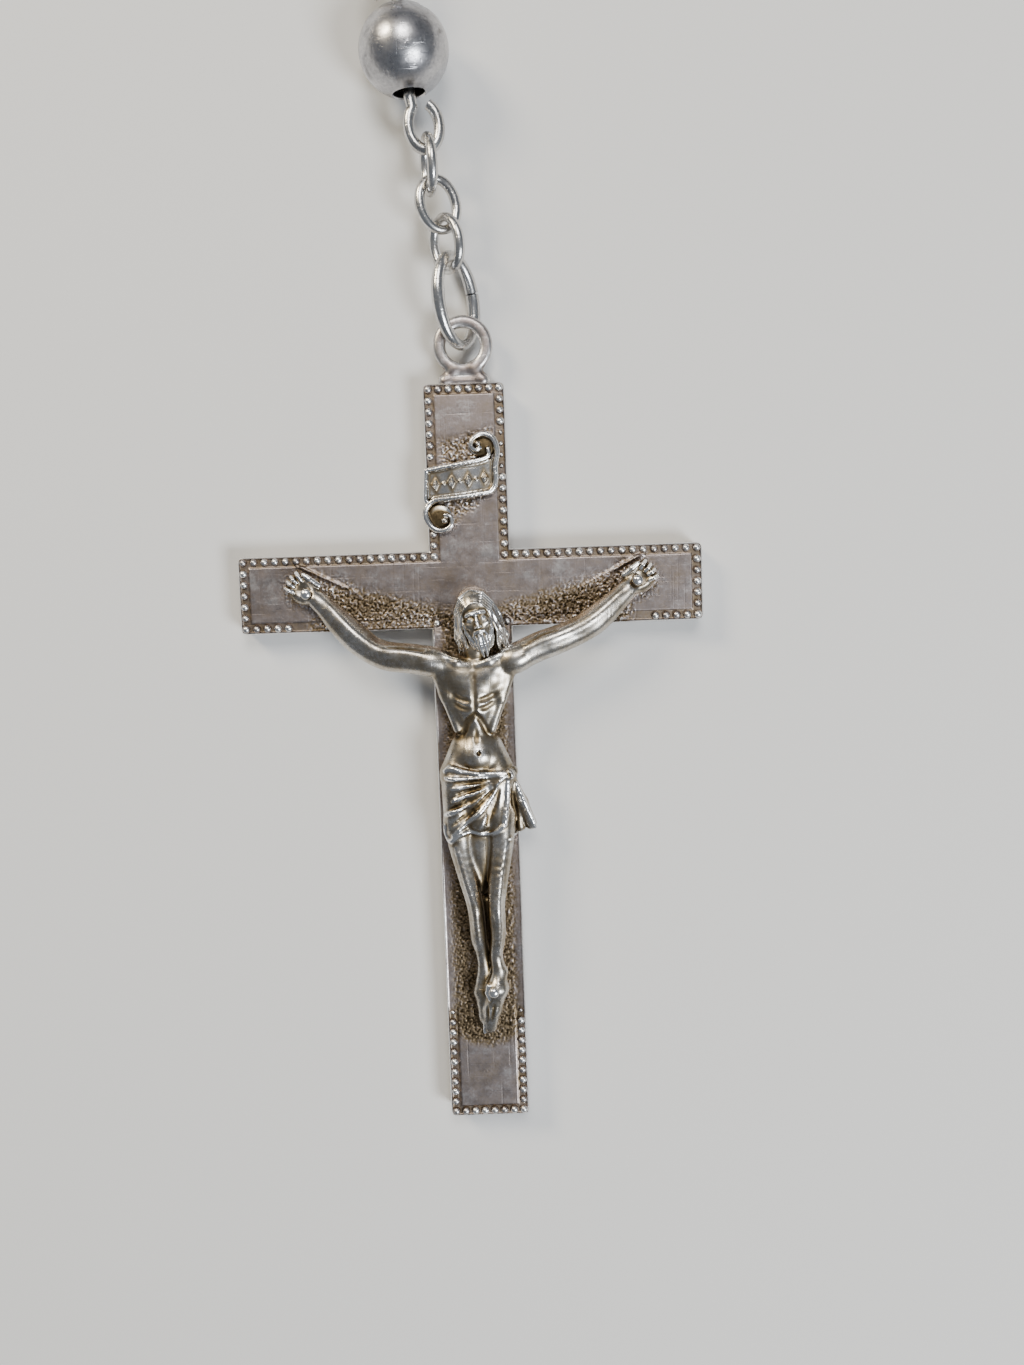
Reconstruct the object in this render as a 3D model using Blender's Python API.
"""Silver rosary lying flat: a crucifix, a drop of five beads, a centre medal and a loop of five decades.

The frame's origin is on the crucifix's back, under the crossing of its arms. +Y runs up the cross
and +Z out of its front. Lengths in the constants are in millimetres.
"""
import math

import bmesh
import bpy
import numpy as np
from mathutils import Matrix, Vector

MM = 0.001

# Crucifix
CROSS_TOP = 13.75
CROSS_HEIGHT = 50.8
ARM_SPAN = 31.5
UPRIGHT_WIDTH = 5.5
BAR_WIDTH = 5.25
PLATE_THICK = 2.0
PLATE_EDGE = 0.22
PANEL_INSET = 0.72
PANEL_DEPTH = 0.16
LIFT = 0.12  # gap between the plate's front and the pieces riveted on it

# Bail: a ring with a short neck, set in the upright's top end
BAIL_CENTRE = (0.05, 16.25, 1.52)
BAIL_RADIUS = 1.58
BAIL_WIRE = 0.45
NECK_WIDTH = 2.9
NECK_THICK = 0.8
NECK_TAPER = 0.72
NECK_OVERLAP = 0.15  # how far the neck runs into the ring
NECK_GAP = 0.05  # between the neck and the plate's top end

# Rivets that hold the figure: place on the plate and height of the head's underside
NAIL_SHANK = 0.3
NAIL_HEAD = 0.46
NAIL_DEPTH = 1.2
NAIL_PLAY = 0.08  # between a shank and its hole
HEAD_PLAY = 0.1  # between a head and its seat
NAILS = {
    "left_hand_nail": (-10.97, 0.04, 3.62),
    "right_hand_nail": (11.19, 0.21, 3.62),
    "foot_nail": (0.6, -27.5, 4.1),
}

# Figure: chains of (x, y, z, radius) limbs, single limbs, and (centre, radii) balls
FIGURE_CHAINS = (
    ((-11.3, 0.4, 3.1, 0.8), (-10.1, -0.4, 3.15, 0.62), (-8.7, -2.05, 3.3, 0.78),
     (-6.7, -3.87, 3.4, 0.72), (-4.3, -4.45, 3.7, 0.85), (-2.0, -4.9, 3.9, 0.95)),
    ((11.45, 0.35, 3.1, 0.8), (10.3, -0.6, 3.15, 0.62), (8.7, -2.1, 3.3, 0.78),
     (6.9, -3.15, 3.4, 0.72), (4.5, -3.95, 3.7, 0.85), (2.1, -4.9, 3.9, 0.95)),
    ((-1.1, -13.0, 3.8, 1.3), (-0.45, -21.9, 4.3, 0.95), (-0.2, -25.3, 3.5, 0.75),
     (0.3, -28.0, 3.2, 0.7), (0.1, -30.7, 2.95, 0.55)),
    ((1.2, -13.0, 3.8, 1.3), (1.05, -21.3, 4.3, 0.95), (1.0, -25.0, 3.5, 0.75),
     (0.9, -28.0, 3.4, 0.75), (0.3, -30.7, 2.95, 0.55)),
    ((0.0, -5.9, 3.9, 1.6), (0.0, -7.6, 3.8, 1.5), (-0.05, -9.8, 3.6, 1.2), (0.0, -11.6, 3.7, 1.5)),
    ((0.2, -4.2, 4.0, 0.8), (0.1, -5.4, 3.9, 0.9)),
    ((-1.6, -12.2, 3.7, 0.9), (-1.5, -16.2, 3.5, 0.8)),
    ((1.7, -12.6, 3.8, 0.8), (1.3, -15.4, 3.6, 0.8)),
    ((2.2, -12.7, 3.6, 0.55), (3.2, -16.0, 2.9, 0.5)),
    ((0.0, -12.5, 4.0, 1.3), (0.2, -15.9, 3.9, 1.2)),
)
FIGURE_BALLS = (
    ((-1.0, -5.9, 3.8), (1.6, 1.5, 1.4)),
    ((1.0, -5.9, 3.8), (1.6, 1.5, 1.4)),
    ((0.35, -2.3, 4.35), (1.75, 2.35, 1.6)),
)
FIGURE_VOXEL = 0.26
FIGURE_SHARE = 0.085  # of the skin's faces that are kept

# Name scroll: a slanted plaque with a curl at two corners
SCROLL_THICK = 0.5
SCROLL_OUTLINE = (
    (-2.1, 5.95), (1.55, 6.5), (1.95, 6.75), (1.95, 9.3), (1.3, 10.0), (0.5, 9.8), (0.4, 9.3), (1.0, 8.75),
    (-2.1, 8.2), (-2.35, 7.9), (-2.35, 4.9), (-1.8, 4.3), (-1.1, 4.5), (-1.0, 5.0), (-1.5, 5.6),
)

# Chain and beads
LINK_WIRE = 0.37
LINK_HALF_WIDTH = 1.22
LINK_REACH = 3.4  # between the wire's centres at its two ends
PIN_WIRE = 0.4
NECK_OF_EYE = 0.35  # from a bead's end to its eye
EYE_HALF_WIDTH = 1.0
MARY_EYE = 2.5
FATHER_EYE = 3.0
FATHER_SHIFT = 0.7  # how far an Our Father pin's eyes stand off to one side
HOOK_GAP = 0.06
FATHER_BEAD = 2.95
MARY_BEAD = 2.7
BEAD_WALL = 0.45
BEAD_HOLE = 1.05
AXIS_HEIGHT = FATHER_BEAD  # the beads' centres lie one large bead's radius above the table
BEAD_FACETS = 12

# The first bead and the links between it and the crucifix, as seen from above
FIRST_BEAD = (-3.0, 34.87)
FIRST_PIN_LEAN = math.radians(5.0)
FIRST_PIN_ROLL = math.radians(8)
CHAIN_LINKS = (  # name, lower end, upper end, roll in degrees
    ("chain_link_1", (-1.62, 25.98, 2.75), (-1.76, 29.48, 2.86), -76),
    ("chain_link_2", (-0.80, 23.60, 2.55), (-1.56, 26.86, 2.72), 20),
    ("chain_link_3", (-0.52, 21.05, 2.42), (-0.92, 24.42, 2.50), -46),
)
JUMP_RING = ((0.05, 16.3, 1.52), (-0.58, 21.95, 2.38), 50)
JUMP_RING_HALF_WIDTH = 1.72
JUMP_RING_WIRE = 0.46
DROP_BEND = math.radians(0.6)  # between one piece of the drop and the next

# Loop of five decades, laid down as a flat double spiral
DECADES = 5
MARY_COUNT = 10
STRAND_PITCH = 7.4
STRAND_BEAD = ((-2.6, 0.75), (-1.45, 2.28), (1.45, 2.28), (2.6, 0.75))  # along a bead, and radius
STRAND_THIN = 0.6
STRAND_END = 0.4
STRAND_SHORT = 1.1  # how far a decade stops short of its outer hooks
INNER_RADIUS = 18.0
MEDAL_CENTRE_OFFSET = 5.4
MEDAL_HALF = (3.1, 4.1)
MEDAL_POINT = 0.16
MEDAL_DROP = 1.75  # from the beads' axis to the medal's back
MEDAL_LEVELS = ((0.8, 0.0), (1.0, 0.35), (1.0, 1.45), (0.9, 1.85), (0.55, 2.2))  # width, height
LUG_RADIUS = 1.0
LUG_WIRE = 0.4
LOW_LUG_SHIFT = 0.6
HIGH_LUG_SHIFT = (2.775, 4.0)
LOOP_CENTRE_SHIFT = 4.9  # of the spiral's middle above the medal's

SILVER = {
    "cross_silver": (0.36, 0.32, 0.30, 0.38),
    "figure_silver": (0.55, 0.52, 0.48, 0.28),
    "chain_silver": (0.58, 0.57, 0.55, 0.30),
    "bead_silver": (0.42, 0.42, 0.42, 0.36),
    "medal_silver": (0.50, 0.48, 0.45, 0.34),
}


# ---------------------------------------------------------------- helpers

def clear_scene():
    for item in list(bpy.data.objects):
        bpy.data.objects.remove(item, do_unlink=True)


def material(node, finish):
    red, green, blue, rough = SILVER[finish]
    made = bpy.data.materials.new(node)
    made.use_nodes = True
    shader = made.node_tree.nodes["Principled BSDF"]
    shader.inputs["Base Color"].default_value = (red, green, blue, 1.0)
    shader.inputs["Metallic"].default_value = 1.0
    shader.inputs["Roughness"].default_value = rough
    return made


def add_object(name, data, finish):
    made = bpy.data.objects.new(name, data)
    bpy.context.scene.collection.objects.link(made)
    if finish:
        data.materials.append(material(name, finish))
    return made


def mesh_object(name, bm, finish, smooth=True):
    bmesh.ops.recalc_face_normals(bm, faces=bm.faces)
    mesh = bpy.data.meshes.new(name)
    bm.to_mesh(mesh)
    bm.free()
    if smooth:
        mesh.shade_smooth()
        mesh.set_sharp_from_angle(angle=math.radians(35))
    return add_object(name, mesh, finish)


def tube(name, points, radius, finish, closed=False, radii=None):
    """A round wire through points, in millimetres."""
    curve = bpy.data.curves.new(name, "CURVE")
    curve.dimensions = "3D"
    curve.bevel_depth = MM
    curve.bevel_resolution = 1
    curve.use_fill_caps = not closed
    spline = curve.splines.new("POLY")
    spline.points.add(len(points) - 1)
    for n, point in enumerate(points):
        spline.points[n].co = (*(Vector(point) * MM), 1.0)
        spline.points[n].radius = radii[n] if radii else radius
    spline.use_cyclic_u = closed
    spline.use_smooth = True
    return add_object(name, curve, finish)


def turned(name, profile, centre, axis, finish, facets=BEAD_FACETS):
    """A solid ring of material: a closed (radius, height) outline spun about axis."""
    bm = bmesh.new()
    ring = [bm.verts.new((r * MM, 0.0, h * MM)) for r, h in profile]
    edges = [bm.edges.new((ring[n], ring[n - 1])) for n in range(len(ring))]
    bmesh.ops.spin(
        bm, geom=ring + edges, cent=(0, 0, 0), axis=(0, 0, 1),
        angle=math.tau, steps=facets, use_merge=True, use_duplicate=False,
    )
    bmesh.ops.remove_doubles(bm, verts=bm.verts, dist=1e-7)
    turn = Vector((0, 0, 1)).rotation_difference(Vector(axis)).to_matrix().to_4x4()
    made = mesh_object(name, bm, finish)
    made.matrix_world = Matrix.Translation(Vector(centre) * MM) @ turn
    return made


def as_tool(made):
    """Hides an object that only cuts or joins."""
    made.hide_render = True
    made.display_type = "WIRE"
    return made


def as_mesh(curve):
    """A wire turned from a curve into a mesh of the same name."""
    name = curve.name
    bpy.context.view_layer.update()
    mesh = bpy.data.meshes.new_from_object(curve.evaluated_get(bpy.context.evaluated_depsgraph_get()))
    bpy.data.objects.remove(curve, do_unlink=True)
    return add_object(name, mesh, None)


def cylinder(name, centre, radius, depth, segments=12):
    bm = bmesh.new()
    bmesh.ops.create_cone(
        bm, cap_ends=True, segments=segments, radius1=radius * MM,
        radius2=radius * MM, depth=depth * MM,
        matrix=Matrix.Translation(Vector(centre) * MM),
    )
    return as_tool(mesh_object(name, bm, None, smooth=False))


def block(name, centre, size):
    bm = bmesh.new()
    bmesh.ops.create_cube(bm, size=1.0)
    bmesh.ops.scale(bm, vec=Vector(size) * MM, verts=bm.verts)
    bmesh.ops.translate(bm, vec=Vector(centre) * MM, verts=bm.verts)
    return as_tool(mesh_object(name, bm, None, smooth=False))


def combine(target, tool, operation):
    modifier = target.modifiers.new(tool.name, "BOOLEAN")
    modifier.operation = operation
    modifier.solver = "EXACT"
    modifier.object = tool


def cut(target, tool):
    combine(target, tool, "DIFFERENCE")


def union(target, tool):
    combine(target, as_tool(tool), "UNION")


def side_of(along, roll):
    """The direction across a link: level and to the right at roll 0, turned about the link's length."""
    along = Vector(along).normalized()
    level = along.cross(Vector((0, 0, 1))).normalized()
    return Matrix.Rotation(roll, 3, along) @ level


# ---------------------------------------------------------------- crucifix

def cross_outline(inset):
    half_up = UPRIGHT_WIDTH / 2 - inset
    half_bar = BAR_WIDTH / 2 - inset
    half_span = ARM_SPAN / 2 - inset
    top = CROSS_TOP - inset
    foot = CROSS_TOP - CROSS_HEIGHT + inset
    right = [(half_up, foot), (half_up, -half_bar), (half_span, -half_bar),
             (half_span, half_bar), (half_up, half_bar), (half_up, top)]
    return right + [(-x, y) for x, y in reversed(right)]


def build_cross():
    """The cast plate: a raised rim round a slightly sunk panel, with three blind rivet holes."""
    bm = bmesh.new()
    levels = [(PLATE_EDGE, 0.0), (0.0, PLATE_EDGE), (0.0, PLATE_THICK - PLATE_EDGE),
              (PLATE_EDGE, PLATE_THICK), (PANEL_INSET, PLATE_THICK),
              (PANEL_INSET, PLATE_THICK - PANEL_DEPTH)]
    rings = [[bm.verts.new((x * MM, y * MM, z * MM)) for x, y in cross_outline(inset)]
             for inset, z in levels]
    for low, high in zip(rings, rings[1:]):
        for n in range(len(low)):
            bm.faces.new((low[n - 1], low[n], high[n], high[n - 1]))
    bm.faces.new(reversed(rings[0]))
    bm.faces.new(rings[-1])
    cross = mesh_object("cross", bm, "cross_silver", smooth=False)
    for name, (x, y, _) in NAILS.items():
        cut(cross, cylinder(name + "_hole", (x, y, PLATE_THICK), NAIL_SHANK + NAIL_PLAY, 2 * NAIL_DEPTH))


def build_bail():
    """The hanging ring, with the neck that is soldered to the top of the upright."""
    centre = Vector(BAIL_CENTRE)
    ring = [centre + BAIL_RADIUS * Vector((math.cos(a), math.sin(a), 0))
            for a in np.linspace(0, math.tau, 24, endpoint=False)]
    bail = as_mesh(tube("bail_ring", ring, BAIL_WIRE, "cross_silver", closed=True))
    foot = CROSS_TOP + NECK_GAP
    height = centre.y - BAIL_RADIUS + NECK_OVERLAP - foot
    middle = Vector((centre.x, foot + height / 2, centre.z))
    neck = block("bail_neck", middle, (NECK_WIDTH, height, NECK_THICK))
    for corner in neck.data.vertices:
        if corner.co.y > middle.y * MM:
            corner.co.x = centre.x * MM + (corner.co.x - centre.x * MM) * NECK_TAPER
    union(bail, neck)


def build_nails():
    for name, (x, y, under) in NAILS.items():
        bottom = PLATE_THICK - NAIL_DEPTH + 0.1
        profile = [(0.02, bottom), (NAIL_SHANK, bottom), (NAIL_SHANK, under), (NAIL_HEAD, under),
                   (NAIL_HEAD * 0.9, under + 0.14), (NAIL_HEAD * 0.5, under + 0.26), (0.02, under + 0.3)]
        bm = bmesh.new()
        spine = [bm.verts.new((r * MM, 0, z * MM)) for r, z in profile]
        edges = [bm.edges.new(pair) for pair in zip(spine, spine[1:])]
        bmesh.ops.spin(bm, geom=spine + edges, cent=(0, 0, 0), axis=(0, 0, 1),
                       angle=math.tau, steps=10, use_merge=True, use_duplicate=False)
        bmesh.ops.remove_doubles(bm, verts=bm.verts, dist=1e-7)
        bmesh.ops.holes_fill(bm, edges=[e for e in bm.edges if e.is_boundary], sides=0)
        bmesh.ops.translate(bm, vec=Vector((x, y, 0)) * MM, verts=bm.verts)
        mesh_object(name, bm, "figure_silver")


def limb(bm, start, start_radius, end, end_radius, segments=10):
    """A tapered limb with round ends."""
    a, b = Vector(start), Vector(end)
    along = b - a
    turn = Vector((0, 0, 1)).rotation_difference(along).to_matrix().to_4x4()
    place = Matrix.Translation((a + b) / 2 * MM) @ turn
    bmesh.ops.create_cone(bm, cap_ends=True, segments=segments, radius1=start_radius * MM,
                          radius2=end_radius * MM, depth=along.length * MM, matrix=place)
    for centre, radius in ((a, start_radius), (b, end_radius)):
        ball(bm, centre, (radius, radius, radius))


def ball(bm, centre, radii):
    shape = Matrix.Diagonal((*(Vector(radii) * MM), 1.0))
    bmesh.ops.create_icosphere(bm, subdivisions=2, radius=1.0,
                               matrix=Matrix.Translation(Vector(centre) * MM) @ shape)


def build_corpus():
    """The cast figure: overlapping limbs made into one skin, with room for the rivets."""
    bm = bmesh.new()
    for chain in FIGURE_CHAINS:
        for (*start, start_radius), (*end, end_radius) in zip(chain, chain[1:]):
            limb(bm, start, start_radius, end, end_radius)
    for centre, radii in FIGURE_BALLS:
        ball(bm, centre, radii)
    corpus = mesh_object("corpus", bm, "figure_silver")
    skin = corpus.modifiers.new("skin", "REMESH")
    skin.mode = "VOXEL"
    skin.voxel_size = FIGURE_VOXEL * MM
    fewer = corpus.modifiers.new("fewer", "DECIMATE")
    fewer.ratio = FIGURE_SHARE
    cut(corpus, block("corpus_back", (0, -10, PLATE_THICK + LIFT - 2), (40, 60, 4)))
    for name, (x, y, under) in NAILS.items():
        cut(corpus, cylinder(name + "_way", (x, y, 3.0), NAIL_SHANK + NAIL_PLAY, 4.0, segments=8))
        cut(corpus, cylinder(name + "_seat", (x, y, under + 0.95), NAIL_HEAD + HEAD_PLAY, 2.0, segments=10))


def build_scroll():
    """The name scroll over the figure."""
    floor = PLATE_THICK + LIFT
    bm = bmesh.new()
    low = bm.faces.new([bm.verts.new((x * MM, y * MM, floor * MM)) for x, y in SCROLL_OUTLINE])
    grown = bmesh.ops.extrude_face_region(bm, geom=[low])
    moved = [item for item in grown["geom"] if isinstance(item, bmesh.types.BMVert)]
    bmesh.ops.translate(bm, vec=Vector((0, 0, SCROLL_THICK)) * MM, verts=moved)
    mesh_object("titulus_scroll", bm, "figure_silver", smooth=False)


# ---------------------------------------------------------------- chain and beads

def link(name, low, high, roll, half_width=LINK_HALF_WIDTH, wire=LINK_WIRE, count=16):
    """An oval link of round wire between the wire's centres at its two ends."""
    low, high = Vector(low), Vector(high)
    middle = (low + high) / 2
    reach = (high - low) / 2
    across = side_of(reach, roll) * half_width
    points = [middle + reach * math.cos(a) + across * math.sin(a)
              for a in np.linspace(0, math.tau, count, endpoint=False)]
    tube(name, points, wire, "chain_silver", closed=True)


def eye_points(bead, loop_length, shift):
    """One end of an eye pin: distance from the bead's centre, and distance to the side."""
    middle = bead + NECK_OF_EYE + loop_length / 2
    path = [(bead - 0.3, 0.0)]
    for turn in np.radians(np.arange(-52, 236, 24)):
        path.append((middle + loop_length / 2 * math.sin(turn), shift - EYE_HALF_WIDTH * math.cos(turn)))
    return path


def pin_reach(bead, loop_length):
    return bead + NECK_OF_EYE + loop_length


def eye_pin(name, centre, along, bead, loop_length, shift, low_roll, high_roll):
    """A wire through a bead, bent into an eye at each end."""
    centre, along = Vector(centre), Vector(along).normalized()
    low_side, high_side = side_of(along, low_roll), side_of(along, high_roll)
    path = eye_points(bead, loop_length, shift)
    low = [centre - along * t + low_side * s for t, s in reversed(path)]
    high = [centre + along * t - high_side * s for t, s in path]
    tube(name, low + high, PIN_WIRE, "chain_silver")


def hollow_bead(name, centre, along, radius, arcs=5):
    """A thin silver ball with a round hole at each end."""
    inner = radius - BEAD_WALL
    start = math.asin(BEAD_HOLE / radius)
    inner_start = math.asin(BEAD_HOLE / inner)
    outside = [(radius * math.sin(a), -radius * math.cos(a))
               for a in np.linspace(start, math.pi - start, arcs)]
    inside = [(inner * math.sin(a), -inner * math.cos(a))
              for a in np.linspace(math.pi - inner_start, inner_start, max(3, arcs - 2))]
    turned(name, outside + inside, centre, along, "bead_silver")


def strand(name, hooks):
    """One decade: ten beads, their pins and an end link, as one swelling wire between hooks."""
    points, radii = [], []
    last = len(hooks) - 2
    for n, (a, b) in enumerate(zip(hooks, hooks[1:])):
        along = (b - a).normalized()
        middle = (a + b) / 2
        if n == 0:
            points += [a + along * STRAND_SHORT]
            radii += [STRAND_END]
        elif n == last:
            points += [a, b - along * STRAND_SHORT]
            radii += [STRAND_THIN, STRAND_END]
        else:
            points += [a] + [middle + along * t for t, _ in STRAND_BEAD]
            radii += [STRAND_THIN] + [r for _, r in STRAND_BEAD]
    tube(name, points, 1.0, "bead_silver", radii=radii)


# ---------------------------------------------------------------- layout

def walk(path, start, steps):
    """Points along a dense path, each a straight step of the given length from the last."""
    here, index = Vector(path[start]), start
    found = [here]
    for step in steps:
        while (path[index] - here).length < step:
            index += 1
        before, after = path[index - 1], path[index]
        share = (step - (before - here).length) / max((after - before).length, 1e-9)
        here = before.lerp(after, min(max(share, 0.0), 1.0))
        found.append(here)
    return found, index


def spiral_path(centre, outer_turn, spare=1.0, fine=0.01):
    """Inward along one arm, through the middle in two half circles, and out along the other arm."""
    grow = STRAND_PITCH / math.pi
    start = math.pi - outer_turn  # the polar angle of the first arm's inner end

    def arm(turn, offset):
        radius = INNER_RADIUS + grow * turn
        angle = start + offset + turn
        return Vector((centre.x + radius * math.cos(angle), centre.y + radius * math.sin(angle), centre.z))

    inward = [arm(t, 0.0) for t in np.arange(outer_turn, 0.0, -fine)]
    half = INNER_RADIUS / 2
    middle = []
    for base, sign in ((start, -1.0), (start + math.pi, 1.0)):
        hub = Vector((half * math.cos(base), half * math.sin(base), 0.0))
        for t in np.arange(0.0, math.pi, 0.02):
            angle = start + sign * t
            reach = Vector((half * math.cos(angle), half * math.sin(angle), 0.0))
            middle.append(centre + hub + reach)
    outward = [arm(t, math.pi) for t in np.arange(0.0, outer_turn + math.pi + spare, fine)]
    end = len(inward) + len(middle) + int(round((outer_turn + math.pi) / fine))
    return inward + middle + outward, end


def loop_steps():
    """The lengths between hooks along the loop, with a word for what spans each."""
    mary = 2 * pin_reach(MARY_BEAD, MARY_EYE) - 2 * PIN_WIRE - HOOK_GAP
    hold = PIN_WIRE + LINK_WIRE + HOOK_GAP
    father = 2 * math.hypot(pin_reach(FATHER_BEAD, FATHER_EYE), FATHER_SHIFT) - hold
    short = LINK_REACH - hold
    spans = []
    for decade in range(DECADES):
        spans += [("link", short)] + [("mary", mary)] * MARY_COUNT + [("link", short)]
        if decade < DECADES - 1:
            spans.append(("father", father))
    return spans


def fit_spiral(medal):
    """The size of spiral whose length takes the whole loop, ending beside its own start."""
    lengths = [length for _, length in loop_steps()]
    low, high = 2.0, 12.0
    for _ in range(22):
        turn = (low + high) / 2
        hub = spiral_centre(medal, turn)
        path, end = spiral_path(hub, turn, spare=3.0)
        try:
            _, index = walk(path, 0, lengths)
        except IndexError:
            index = len(path) + 1
        if index > end:
            low = turn
        else:
            high = turn
    return walk(path, 0, lengths)[0]


def spiral_centre(medal, turn):
    radius = INNER_RADIUS + STRAND_PITCH / math.pi * turn
    return Vector((medal[0] + radius + STRAND_PITCH / 2, medal[1], AXIS_HEIGHT))


def build_loop(medal):
    hooks = fit_spiral(medal)
    spans = loop_steps()
    position, decade, father = 0, 0, 0
    while position < len(spans):
        if spans[position][0] == "father":
            father += 1
            a, b = hooks[position], hooks[position + 1]
            along = lean_back(b - a)
            middle = (a + b) / 2
            eye_pin(f"loop_pin_{father}", middle, along, FATHER_BEAD, FATHER_EYE, FATHER_SHIFT, 0.0, 0.0)
            hollow_bead(f"loop_father_bead_{father}", middle, along, FATHER_BEAD, arcs=5)
            position += 1
        else:
            decade += 1
            count = MARY_COUNT + 2
            strand(f"decade_{decade}", hooks[position:position + count + 1])
            position += count


def lean_back(chord):
    """An Our Father pin's own direction, when both its eyes are set to one side of it."""
    angle = math.atan2(FATHER_SHIFT, pin_reach(FATHER_BEAD, FATHER_EYE))
    return Matrix.Rotation(-angle, 3, "Z") @ Vector(chord).normalized()


def build_medal(lugs, centre):
    """A plain pointed oval medal with one lug below and two above."""
    low = centre.z - MEDAL_DROP
    half_width, half_height = MEDAL_HALF
    outline = [(half_width * math.sin(a) * (1 - MEDAL_POINT * math.cos(a)), -half_height * math.cos(a))
               for a in np.linspace(0, math.tau, 24, endpoint=False)]
    bm = bmesh.new()
    rings = [[bm.verts.new(((centre.x + x * scale) * MM, (centre.y + y * scale) * MM, (low + height) * MM))
              for x, y in outline] for scale, height in MEDAL_LEVELS]
    for a, b in zip(rings, rings[1:]):
        for n in range(len(a)):
            bm.faces.new((a[n - 1], a[n], b[n], b[n - 1]))
    bm.faces.new(reversed(rings[0]))
    bm.faces.new(rings[-1])
    plate = mesh_object("centre_medal", bm, "medal_silver", smooth=False)
    for name, (x, y) in lugs.items():
        ring = [Vector((x + LUG_RADIUS * math.cos(a), y + LUG_RADIUS * math.sin(a), centre.z))
                for a in np.linspace(0, math.tau, 14, endpoint=False)]
        union(plate, as_mesh(tube(name, ring, LUG_WIRE, None, closed=True)))


def build_drop():
    """From the crucifix up to the medal. Returns the hook that the medal's lower lug takes."""
    down = Vector((math.sin(FIRST_PIN_LEAN), -math.cos(FIRST_PIN_LEAN), 0.0))
    up = -down
    bead = Vector((*FIRST_BEAD, AXIS_HEIGHT))
    eye_pin("eye_pin_1", bead, up, FATHER_BEAD, FATHER_EYE, FATHER_SHIFT, FIRST_PIN_ROLL,
            FIRST_PIN_ROLL)
    hollow_bead("our_father_bead_1", bead, up, FATHER_BEAD, arcs=7)
    for name, low, high, roll in CHAIN_LINKS:
        link(name, low, high, math.radians(roll))
    low, high, roll = JUMP_RING
    link("jump_ring", low, high, math.radians(roll), JUMP_RING_HALF_WIDTH, JUMP_RING_WIRE, count=22)

    hold = PIN_WIRE + LINK_WIRE + HOOK_GAP
    hook = bead + up * pin_reach(FATHER_BEAD, FATHER_EYE) - side_of(up, FIRST_PIN_ROLL) * FATHER_SHIFT
    hook.z = AXIS_HEIGHT
    heading = math.atan2(up.y, up.x)
    pieces = [("link", 1)] + [("mary", n) for n in (1, 2, 3)] + [("link", 2), ("father", 2), ("link", 3)]
    here = hook - Vector((math.cos(heading), math.sin(heading), 0)) * hold / 2
    for kind, number in pieces:
        heading -= DROP_BEND
        along = Vector((math.cos(heading), math.sin(heading), 0.0))
        if kind == "link":
            low = here - along * hold / 2
            link(f"drop_link_{number}", low, low + along * LINK_REACH, math.radians(90))
            here = here + along * (LINK_REACH - hold)
        elif kind == "mary":
            reach = pin_reach(MARY_BEAD, MARY_EYE)
            middle = here + along * (reach - PIN_WIRE - HOOK_GAP / 2)
            top_roll = math.radians(90 if number < 3 else 0)
            eye_pin(f"hail_mary_pin_{number}", middle, along, MARY_BEAD, MARY_EYE, 0.0, 0.0, top_roll)
            hollow_bead(f"hail_mary_bead_{number}", middle, along, MARY_BEAD)
            here = here + along * (2 * reach - 2 * PIN_WIRE - HOOK_GAP)
        else:
            reach = math.hypot(pin_reach(FATHER_BEAD, FATHER_EYE), FATHER_SHIFT)
            middle = here + along * (reach - hold / 2)
            own = lean_back(along)
            eye_pin("our_father_pin_2", middle, own, FATHER_BEAD, FATHER_EYE, FATHER_SHIFT, 0.0, 0.0)
            hollow_bead("our_father_bead_2", middle, own, FATHER_BEAD)
            here = here + along * (2 * reach - hold)
    return here


def main():
    clear_scene()
    build_cross()
    build_bail()
    build_nails()
    build_corpus()
    build_scroll()
    hook = build_drop()
    centre = Vector((hook.x, hook.y + MEDAL_CENTRE_OFFSET, AXIS_HEIGHT))
    across, above = HIGH_LUG_SHIFT
    lugs = {
        "lug_low": (hook.x, hook.y + LOW_LUG_SHIFT),
        "lug_left": (hook.x - across, centre.y + above),
        "lug_right": (hook.x + across, centre.y + above),
    }
    build_medal(lugs, centre)
    build_loop((hook.x, centre.y + LOOP_CENTRE_SHIFT))


main()
